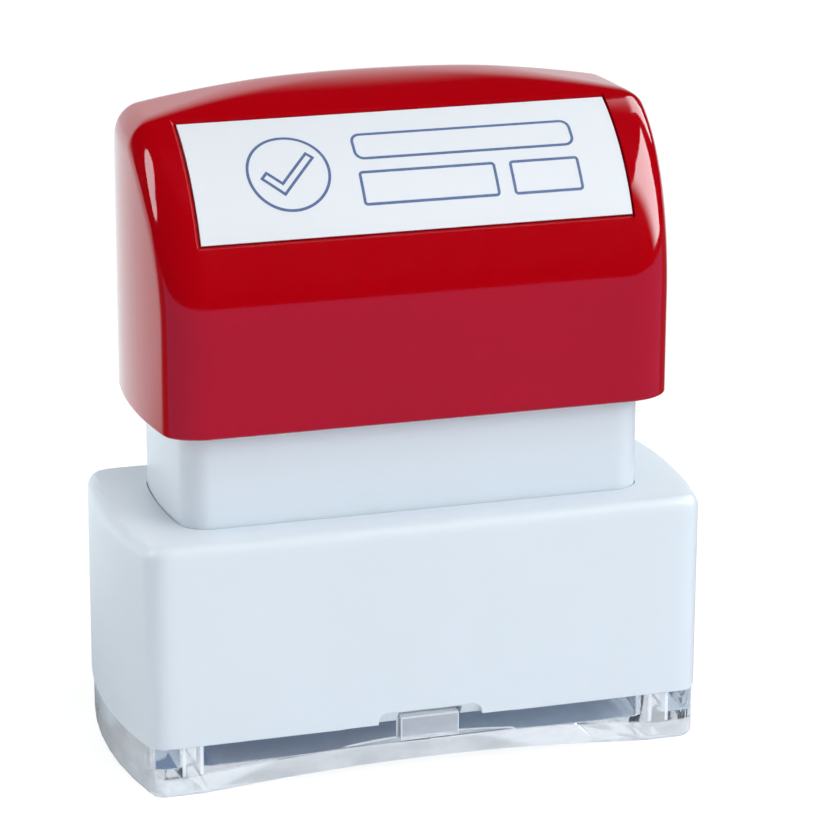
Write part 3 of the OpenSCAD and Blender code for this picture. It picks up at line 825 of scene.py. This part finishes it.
class STAMP_OT_print(bpy.types.Operator):
    """Models the printed lines on the label: a ring with a tick, and blank bars"""

    bl_idname = "stamp.print"
    bl_label = "Label print"

    def execute(self, context):
        t = label()
        middle = t.label_width / 2
        start = t.bars_x - t.bar_length / 2
        upper = (middle + t.upper_y, t.upper_height, t.upper_corner)
        lower = (middle + t.lower_y, t.lower_height, t.lower_corner)
        bars = (
            (start, t.bar_length, upper), (start, t.lower_long, lower),
            (start + t.lower_long + t.lower_gap, t.lower_short, lower),
        )
        pieces = [
            print_ring((t.ring_x, middle), t.ring_radius),
            print_tick((t.ring_x + t.tick_x, middle + t.tick_y), t.tick_size),
        ]
        for x, size, (y, height, corner) in bars:
            pieces.append(print_bar((x + size / 2, y), (size, height), corner))
        focus(pieces[0])
        for piece in pieces:
            piece.select_set(True)
        bpy.ops.object.join()
        lines = named("label_print")
        with editing(lines):
            slice_across(1, [t.label_width * i / PRINT_CUTS for i in range(PRINT_CUTS + 1)])
        apply_modifier(lines, "SOLIDIFY", thickness=t.print_height, offset=1)
        base = shells().front_radius - t.label_recess + t.label_height
        with editing(lines):
            reshape(lambda p: on_front(p, base))
            face_outwards()
        coat(lines, print_ink())
        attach(lines, "handle")
        return {"FINISHED"}


class STAMP_OT_springs(bpy.types.Operator):
    """Models the two return springs"""

    bl_idname = "stamp.springs"
    bl_label = "Return springs"

    def execute(self, context):
        t = label()
        ring = (t.spring_diameter - t.spring_wire) / 2
        start = (ring, 0, SPRING_LOW.z + t.spring_wire / 2)
        whole = SPRING_HIGH.z - SPRING_LOW.z
        rise = whole - t.spring_wire
        for side, x in (("left", -POST_X), ("right", POST_X)):
            spring = added(
                f"spring_{side}", bpy.ops.mesh.primitive_circle_add, vertices=WIRE_SIDES,
                radius=t.spring_wire / 2, rotation=(math.pi / 2, 0, 0), location=start,
            )
            apply_modifier(
                spring, "SCREW", axis="Z", angle=math.tau, iterations=t.spring_turns,
                screw_offset=rise / t.spring_turns, steps=TURN_STEPS, render_steps=TURN_STEPS,
            )
            with editing(spring):
                bpy.ops.mesh.select_all(action="SELECT")
                bpy.ops.mesh.remove_doubles(threshold=MM / 1000)
                bpy.ops.mesh.select_all(action="SELECT")
                bpy.ops.mesh.fill_holes(sides=0)
                face_outwards()
                bpy.ops.transform.translate(value=(x, 0, 0))
            smooth(spring, angle=60)
            coat(spring, steel_wire())
            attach(spring, "housing")
            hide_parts(f"return_spring_{side}")
            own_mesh(spring)
        return {"FINISHED"}


class STAMP_OT_wicks(bpy.types.Operator):
    """Models the two felt wicks, with rounded tops that show in the ink wells"""

    bl_idname = "stamp.wicks"
    bl_label = "Ink wicks"

    def execute(self, context):
        for side in ("left", "right"):
            node = f"ink_wick_{side}"
            low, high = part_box(node)
            place = ((low.x + high.x) / 2, 0, (low.z + high.z) / 2)
            radius = (high.x - low.x) / 2
            wick = drum_piece(f"wick_{side}", radius, high.z - low.z, place, False, WICK_SIDES)
            with editing(wick):
                pick_ridges(lambda p, z=high.z: p.z > z - MM / 10)
                round_edges(label().wick_edge, segments=5)
            smooth(wick, angle=40)
            coat(wick, ink_felt())
            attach(wick, "plunger")
            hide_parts(node)
        return {"FINISHED"}


# Finishes

class Graph:
    """Nodes of a material, a lamp or a sky, with short ways to add and to join them."""

    def __init__(self, tree):
        self.nodes = tree.nodes
        self.links = tree.links

    def feed(self, socket, value):
        """Joins an output to an input, or sets the input to a plain value."""
        if isinstance(value, bpy.types.NodeSocket):
            self.links.new(value, socket)
        elif socket.type == "RGBA":
            socket.default_value = (*value, 1)
        else:
            socket.default_value = value

    def set(self, node, **values):
        """Sets a node's inputs, named with a capital and with _ for a blank, and its settings."""
        for name, value in values.items():
            if name[0].isupper():
                self.feed(node.inputs[name.replace("_", " ")], value)
            else:
                setattr(node, name, value)
        return node

    def add(self, kind, **values):
        """Adds a node and sets it up."""
        return self.set(self.nodes.new(f"ShaderNode{kind}"), **values)

    def axes(self, kind, output):
        """X, Y and Z of a node's output."""
        return self.add("SeparateXYZ", Vector=self.add(kind).outputs[output]).outputs

    def noise(self, scale, detail=3, stretch=(1, 1, 1)):
        """Noise on object coordinates, with a scale in cycles a metre."""
        place = self.add("Mapping", Vector=self.add("TexCoord").outputs["Object"], Scale=stretch)
        return self.add("TexNoise", Vector=place.outputs["Vector"], Scale=scale, Detail=detail).outputs["Fac"]

    def math(self, operation, first, *others):
        """A piece of arithmetic on outputs and plain numbers, taken from left to right."""
        for other in others or (0,):
            node = self.add("Math", operation=operation)
            self.feed(node.inputs[0], first)
            self.feed(node.inputs[1], other)
            first = node.outputs[0]
        return first

    def map(self, source, start, end, low, high, **settings):
        """An output moved from one range to another."""
        return self.add(
            "MapRange", **settings, Value=source, From_Min=start, From_Max=end, To_Min=low, To_Max=high
        ).outputs["Result"]

    def ramp(self, source, start, end, low, high):
        """A smooth step of an output from one value to another."""
        return self.map(source, start, end, low, high, interpolation_type="SMOOTHSTEP")

    def blend(self, part, first, second):
        """A mix of two colours."""
        return self.add("Mix", data_type="RGBA", Factor=part, A=first, B=second).outputs["Result"]

    def mix(self, part, first, second):
        """A mix of two shaders."""
        node = self.add("MixShader")
        for socket, value in zip(node.inputs, (part, first, second)):
            self.feed(socket, value)
        return node.outputs[0]


def shade(value, factor):
    """A colour made lighter or darker."""
    return tuple(min(1, part * factor) for part in value)


class Finish(Graph):
    """A new material with one shader, its even values set, and ways to vary it by a noise."""

    def __init__(self, name, tone, roughness, **sockets):
        self.material = bpy.data.materials.new(f"{name}_finish")
        self.material.use_nodes = True
        super().__init__(self.material.node_tree)
        self.tone = tone
        self.shader = self.nodes["Principled BSDF"]
        self.set(self.shader, Base_Color=tone, Roughness=roughness, **sockets)

    def tint(self, noise, low, high):
        """Moves the base colour between two shades of it."""
        node = self.add("ValToRGB", Fac=noise)
        for element, place, factor in zip(node.color_ramp.elements, NOISE_RANGE, (low, high)):
            element.position = place
            element.color = (*shade(self.tone, factor), 1)
        self.set(self.shader, Base_Color=node.outputs["Color"])

    def polish(self, noise, low, high):
        """Moves the roughness between two limits."""
        self.set(self.shader, Roughness=self.map(noise, *NOISE_RANGE, low, high))

    def grain(self, noise, distance, strength):
        """Raises the surface."""
        node = self.add("Bump", Height=noise, Strength=strength, Distance=distance)
        self.set(self.shader, Normal=node.outputs["Normal"])


@cache
def red_plastic():
    look = Finish("red_plastic", colours().red, 0.08, IOR=1.5, Specular_IOR_Level=0.5)
    look.tint(look.noise(60), 0.97, 1.03)
    look.polish(look.noise(900), 0.04, 0.09)
    look.grain(look.noise(260, 2), 0.02 * MM, 0.05)
    return look.material


@cache
def white_plastic():
    look = Finish("white_plastic", colours().white, 0.33, IOR=1.48)
    look.tint(look.noise(45), 0.985, 1.015)
    look.polish(look.noise(1200), 0.28, 0.4)
    look.grain(look.noise(2600, 2), 0.03 * MM, 0.12)
    return look.material


@cache
def clear_plastic():
    """Clear, with a milky floor slab, pocket ribs, ends and pry tabs, and painted highlights as milky lines
    at the sides of the ribs.
    """
    s = shells()
    c = colours()
    look = Finish("clear_plastic", c.clear, 0.03, IOR=1.49)
    x, y, z = look.axes("TexCoord", "Object")
    x = look.math("ABSOLUTE", x)
    y = look.math("ABSOLUTE", y)
    # Softness of the veil's edges, and half width of the painted highlight lines at the ribs
    soft = 0.2 * MM
    line = 0.12 * MM

    def between(source, low, high, value):
        """A band of an output, with soft sides."""
        rise = look.ramp(source, low - soft, low, 0, value)
        return look.math("MINIMUM", rise, look.ramp(source, high, high + soft, value, 0))

    along = look.math("DIVIDE", x, HOUSING_HIGH.x - s.foot_length)
    arch = look.math("MAXIMUM", look.math("SUBTRACT", 1, look.math("MULTIPLY", along, along)), 0)
    height = look.math("SUBTRACT", z, look.math("MULTIPLY", arch, s.arch_rise))
    slab = look.ramp(height, s.slab, s.slab + 2 * soft, c.slab_veil, 0)
    over_slab = look.ramp(height, s.slab, s.slab + 2 * soft, 0, 1)
    rib_start = s.well_length / 2
    rib_end = rib_start + s.pocket_rib
    pocket_end = rib_end + s.pocket_length
    rib = between(x, rib_start, rib_end, c.rib_veil)
    end = look.ramp(x, pocket_end, pocket_end + soft, 0, c.end_veil)
    # Milky lines at the rib walls, above the slab: painted highlights
    lines = [between(x, at - line, at + line, c.rib_highlight_veil) for at in (rib_start, rib_end)]
    sides = look.math("MULTIPLY", look.math("MAXIMUM", *lines), over_slab)
    tab_y = HOUSING_HIGH.y - s.cover_inset - s.scoop_depth
    tab_z = HOUSING_LOW.z - s.scoop_height
    tab = look.math(
        "MINIMUM", between(x, 0, s.tab_length / 2, c.tab_veil), look.ramp(y, tab_y, tab_y + soft, 0, 1),
        look.ramp(z, tab_z - soft, tab_z, 0, 1),
    )
    outside = look.math("SUBTRACT", 1, look.add("NewGeometry").outputs["Backfacing"])
    cloud = look.ramp(look.noise(190, 4, (1, 1, 2)), *NOISE_RANGE, *CLOUD_RANGE)
    veil = look.math("MULTIPLY", look.math("MAXIMUM", slab, end, rib, tab, sides), cloud, outside)
    look.set(look.shader, Transmission_Weight=look.math("SUBTRACT", c.clear_part, veil))
    look.polish(look.noise(300), 0.01, 0.05)
    look.grain(look.noise(120, 2), 0.02 * MM, 0.04)
    return look.material


@cache
def painted_edge_highlight():
    """The small edges of the clear cover, made partly milky so that they show as bright lines: painted
    highlights.
    """
    look = Finish("painted_edge_highlight", colours().clear, 0.2, IOR=1.49, Transmission_Weight=0.2)
    look.polish(look.noise(300), 0.15, 0.25)
    return look.material


@cache
def inner_plastic():
    look = Finish("inner_plastic", colours().inner, 0.5, IOR=1.48)
    look.tint(look.noise(80), 0.95, 1.05)
    look.grain(look.noise(1800), 0.04 * MM, 0.2)
    return look.material


@cache
def dark_plastic():
    look = Finish("dark_plastic", colours().dark, 0.45, IOR=1.48)
    look.tint(look.noise(90), 0.9, 1.1)
    look.grain(look.noise(2000), 0.04 * MM, 0.2)
    return look.material


@cache
def steel_wire():
    look = Finish("steel_wire", colours().steel, 0.3, Metallic=1)
    look.polish(look.noise(700, 4, (1, 1, 6)), 0.2, 0.42)
    look.tint(look.noise(400), 0.9, 1.08)
    return look.material


@cache
def ink_felt():
    look = Finish("ink_felt", colours().ink, 0.85)
    look.tint(look.noise(900, 5), 0.6, 1.6)
    look.grain(look.noise(2400, 5), 0.2 * MM, 0.7)
    return look.material


@cache
def die_rubber():
    wet = 1.5
    look = Finish("die_rubber", shade(colours().ink, wet), 0.6)
    look.tint(look.noise(500, 5), 1.1 / wet, 2.2 / wet)
    look.grain(look.noise(4200), 0.08 * MM, 0.5)
    return look.material


@cache
def label_film():
    look = Finish("label_film", colours().label, 0.42, IOR=1.45, Specular_IOR_Level=0.3)
    look.tint(look.noise(70), 0.993, 1.007)
    look.polish(look.noise(1500), 0.4, 0.48)
    look.grain(look.noise(900, 2), 0.01 * MM, 0.03)
    return look.material


@cache
def print_ink():
    look = Finish("print_ink", colours().print, 0.4)
    look.tint(look.noise(2500, 4), 0.85, 1.2)
    return look.material


class STAMP_OT_finishes(bpy.types.Operator):
    """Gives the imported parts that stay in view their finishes"""

    bl_idname = "stamp.finishes"
    bl_label = "Finishes"

    def execute(self, context):
        makers = {
            "plunger_body": white_plastic, "base_frame": inner_plastic, "die_carrier": inner_plastic,
            "die_frame": dark_plastic, "stamp_die": die_rubber, "ink_pad": ink_felt,
            "guide_post_left": steel_wire, "guide_post_right": steel_wire, "message_label": label_film,
        }
        for node, maker in makers.items():
            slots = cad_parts[node].data.materials
            slots.clear()
            slots.append(maker())
        return {"FINISHED"}


# Studio

def lamp(name, place, size, power, mirrored=False, oval=False):
    """A soft lamp that faces the stamp. It shows in no reflection or, if mirrored, only there."""
    data = bpy.data.lights.new(name, "AREA")
    data.shape = "ELLIPSE" if oval else "RECTANGLE"
    data.size, data.size_y = size
    data.energy = power
    if mirrored:
        data.color = studio().mirror_tint
    piece = bpy.data.objects.new(name, data)
    bpy.context.scene.collection.objects.link(piece)
    piece.location = place
    aim = Vector(studio().lamp_aim) - Vector(place)
    piece.rotation_euler = aim.to_track_quat("-Z", "Y").to_euler()
    piece.visible_glossy = mirrored
    piece.visible_transmission = mirrored
    piece.visible_diffuse = not mirrored
    return piece


def soften(piece, across, along, start, end):
    """Lets a lamp's light grow from nothing to full along a direction on its face."""
    piece.data.use_nodes = True
    graph = Graph(piece.data.node_tree)
    face = graph.axes("NewGeometry", "Parametric")
    way = graph.math(
        "ADD", graph.math("MULTIPLY", face["X"], across), graph.math("MULTIPLY", face["Y"], along)
    )
    graph.set(graph.nodes["Emission"], Strength=graph.ramp(way, start, end, 0, 1))


def floor_material():
    """A pale floor with a faint shadow: white to the camera, darker in reflections, and with a shadow painted
    below the cover that shows through it.
    """
    u = studio()
    material = bpy.data.materials.new("studio_floor")
    material.use_nodes = True
    graph = Graph(material.node_tree)
    plain = graph.set(graph.nodes["Principled BSDF"], Base_Color=u.floor, Roughness=0.9, Specular_IOR_Level=0)
    place = graph.axes("TexCoord", "Object")
    x = place["X"]
    y = place["Y"]
    behind = graph.math("SUBTRACT", y, graph.math("MULTIPLY", graph.math("ABSOLUTE", x), MIRROR_SPREAD))
    near = graph.blend(graph.ramp(y, *MIRROR_FRONT, 0, 1), u.floor_front, u.floor_side)
    glow = graph.blend(graph.ramp(behind, *MIRROR_BACK, 0, 1), near, u.mirror_tint)
    # A shadow under the stamp painted on the floor for rays through the clear cover, shifted left and darker
    # on the left, fading out beyond the stamp's outline
    painted_shade = graph.blend(graph.ramp(x, *PAINTED_SHADE_FADE, 0, 1), u.painted_shade_left, u.painted_shade_right)
    off_x = graph.math("ABSOLUTE", graph.math("ADD", x, SHADE_SHIFT))
    off_y = graph.math("ABSOLUTE", y)
    outside_painted_shade = graph.math(
        "MAXIMUM", graph.ramp(off_x, *SHADE_EDGE_X, 0, 1), graph.ramp(off_y, *SHADE_EDGE_Y, 0, 1)
    )
    white = graph.add("Emission", Strength=u.floor_white)
    mirrored = graph.add("Emission", Color=glow, Strength=u.floor_mirror)
    through = graph.add("Emission", Color=graph.blend(outside_painted_shade, painted_shade, u.beside))
    ray = graph.add("LightPath").outputs
    seen = graph.math("MULTIPLY", ray["Is Camera Ray"], u.floor_glow)
    look = graph.mix(seen, plain.outputs["BSDF"], white.outputs["Emission"])
    look = graph.mix(ray["Is Glossy Ray"], look, mirrored.outputs["Emission"])
    look = graph.mix(ray["Is Transmission Ray"], look, through.outputs["Emission"])
    graph.set(graph.nodes["Material Output"], Surface=look)
    return material


def sky():
    """An even light, whose reflection is white low behind the stamp and dark above and in front of it."""
    u = studio()
    world = bpy.data.worlds.new("studio_sky")
    bpy.context.scene.world = world
    world.use_nodes = True
    graph = Graph(world.node_tree)
    way = graph.axes("TexCoord", "Generated")["Y"]
    strength = graph.ramp(way, *SKY_EDGE, u.sky_dark, u.sky_mirror)
    even = graph.set(graph.nodes["Background"], Color=u.sky_tint, Strength=u.sky).outputs[0]
    mirrored = graph.add("Background", Color=u.mirror_tint, Strength=strength).outputs[0]
    white = graph.add("Background", Strength=u.sky_white).outputs[0]
    ray = graph.add("LightPath").outputs
    look = graph.mix(ray["Is Glossy Ray"], even, mirrored)
    look = graph.mix(ray["Is Transmission Ray"], look, white)
    look = graph.mix(ray["Is Camera Ray"], look, white)
    graph.set(graph.nodes["World Output"], Surface=look)


class STAMP_OT_stage(bpy.types.Operator):
    """Sets up the floor, the lamps, the sky and the camera"""

    bl_idname = "stamp.stage"
    bl_label = "Studio"

    def set_lamps(self):
        """Five lamps light the stamp, and a box and two strips show in its gloss."""
        lamp("key_right", (0.6, -0.55, 0.55), (0.5, 0.5), 2.4)
        lamp("front_fill", (0.42, -0.85, 0.48), (0.8, 0.6), 3.05)
        lamp("top_front", (0.15, -0.28, 0.95), (0.7, 0.5), 3.5)
        lamp("left_fill", (-0.72, 0.45, 0.24), (0.4, 0.4), 2.95)
        lamp("back_fill", (0.1, 0.7, 0.62), (0.8, 0.5), 1.8)
        box_right = lamp("box_right", (0.66, -0.35, 0.41), (0.72, 0.65), 15.5, mirrored=True)
        soften(box_right, 1, 0.5, 0.45, 0.8)
        lamp("strip_left", (-0.65, -0.04, 0.56), (0.28, 0.58), 3.3, mirrored=True, oval=True)
        strip_back = lamp("strip_back", (0.565, 0.25, 0.62), (0.22, 1), 3.6, mirrored=True, oval=True)
        soften(strip_back, 0, -1, -0.9, -0.7)

    def set_camera(self, scene):
        """A camera at the photograph's viewing angle."""
        u = studio()
        data = bpy.data.cameras.new("photo_camera")
        data.lens = u.camera_lens
        data.clip_start = 10 * MM
        camera = bpy.data.objects.new("photo_camera", data)
        scene.collection.objects.link(camera)
        place = Vector(u.camera_place)
        view = Vector(u.camera_aim) - place
        turn = view.to_track_quat("-Z", "Y").to_matrix().to_4x4()
        camera.matrix_world = Matrix.Translation(place) @ turn @ Matrix.Rotation(u.camera_roll, 4, "Z")
        scene.camera = camera

    def execute(self, context):
        place = (0, 0, COVER_LOW.z - FLOOR_DROP)
        floor = added("studio_floor", bpy.ops.mesh.primitive_plane_add, size=FLOOR_SIZE, location=place)
        floor.data.materials.append(floor_material())
        sky()
        self.set_lamps()
        self.set_camera(context.scene)
        context.scene.view_settings.view_transform = "Standard"
        return {"FINISHED"}


OPERATORS = (
    STAMP_OT_stage, STAMP_OT_finishes, STAMP_OT_cap, STAMP_OT_print, STAMP_OT_housing,
    STAMP_OT_cover, STAMP_OT_springs, STAMP_OT_wicks,
)


class STAMP_PT_sidebar(bpy.types.Panel):
    """Lists the pieces of the stamp and their sizes"""

    bl_label = "Message stamp"
    bl_idname = "STAMP_PT_sidebar"
    bl_space_type = "VIEW_3D"
    bl_region_type = "UI"
    bl_category = "Stamp"

    def draw(self, context):
        for operator in OPERATORS:
            self.layout.operator(operator.bl_idname)
        for group in (shells(), label(), colours(), studio()):
            box = self.layout.box()
            for name in group.__annotations__:
                box.prop(group, name)


GROUPS = {
    "stamp_shells": StampShells, "stamp_label": StampLabel,
    "stamp_colours": StampColours, "stamp_studio": StampStudio,
}


def register():
    for group in GROUPS.values():
        bpy.utils.register_class(group)
    for name, group in GROUPS.items():
        setattr(bpy.types.Scene, name, bpy.props.PointerProperty(type=group))
    for operator in OPERATORS:
        bpy.utils.register_class(operator)
    bpy.utils.register_class(STAMP_PT_sidebar)


def unregister():
    bpy.utils.unregister_class(STAMP_PT_sidebar)
    for operator in reversed(OPERATORS):
        bpy.utils.unregister_class(operator)
    for name, group in GROUPS.items():
        delattr(bpy.types.Scene, name)
        bpy.utils.unregister_class(group)


def main():
    register()
    bpy.ops.stamp.stage()
    bpy.ops.stamp.finishes()
    bpy.ops.stamp.cap()
    bpy.ops.stamp.print()
    bpy.ops.stamp.housing()
    bpy.ops.stamp.cover()
    bpy.ops.stamp.springs()
    bpy.ops.stamp.wicks()


if __name__ == "__main__":
    main()
